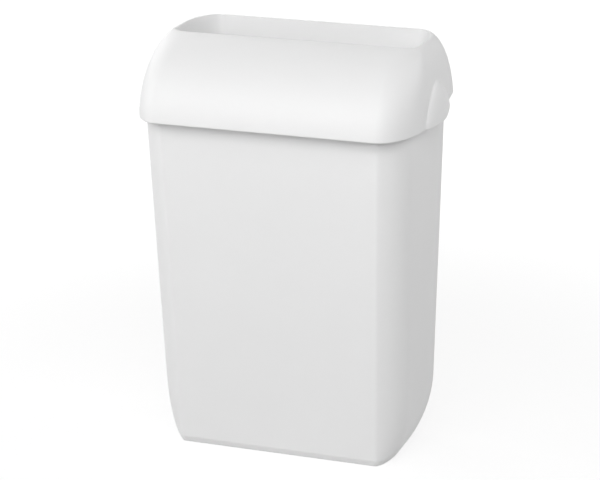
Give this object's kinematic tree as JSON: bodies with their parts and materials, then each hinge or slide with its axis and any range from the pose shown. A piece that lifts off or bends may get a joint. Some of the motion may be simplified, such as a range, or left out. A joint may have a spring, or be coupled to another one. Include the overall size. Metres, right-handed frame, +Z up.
{
  "type": "trash can",
  "caption": "Tapered white washroom waste bin with an open-topped, forward-curving hood that lifts off by domed side grips, and a wire ring inside that holds the bag.",
  "frame": {"origin": "on the floor, under the middle of the whole bin's outline", "axes": "+Z up, +Y towards the wall behind the bin, +X to the right as seen from the front"},
  "size_m": [0.3476, 0.198, 0.482],
  "materials": {
    "white_plastic": "satin, very finely grained",
    "grey_plastic": "satin",
    "steel_wire": "drawn wire, zinc-bright",
    "screw_steel": "zinc-plated"
  },
  "bodies": {
    "bin": {"bin_body": "white_plastic", "left_ring_saddle": "grey_plastic", "right_ring_saddle": "grey_plastic", "left_saddle_screw_1": "screw_steel", "left_saddle_screw_2": "screw_steel", "right_saddle_screw_1": "screw_steel", "right_saddle_screw_2": "screw_steel"},
    "hood": {"hood": "white_plastic"},
    "ring": {"bag_ring": "steel_wire"}
  },
  "joints": [
    {"name": "hood_lift", "type": "slide", "parent": "bin", "child": "hood", "axis": [0, 0, 1], "range_m": [0, 0.2]},
    {"name": "ring_swing", "type": "hinge", "parent": "bin", "child": "ring", "pos_m": [0, 0.0896, 0.414], "axis": [-1, 0, 0], "range_deg": [0, 75]}
  ],
  "couplings": [
    {"joint": "ring_swing", "follows": "hood_lift", "rad_per_m": 6.5}
  ]
}
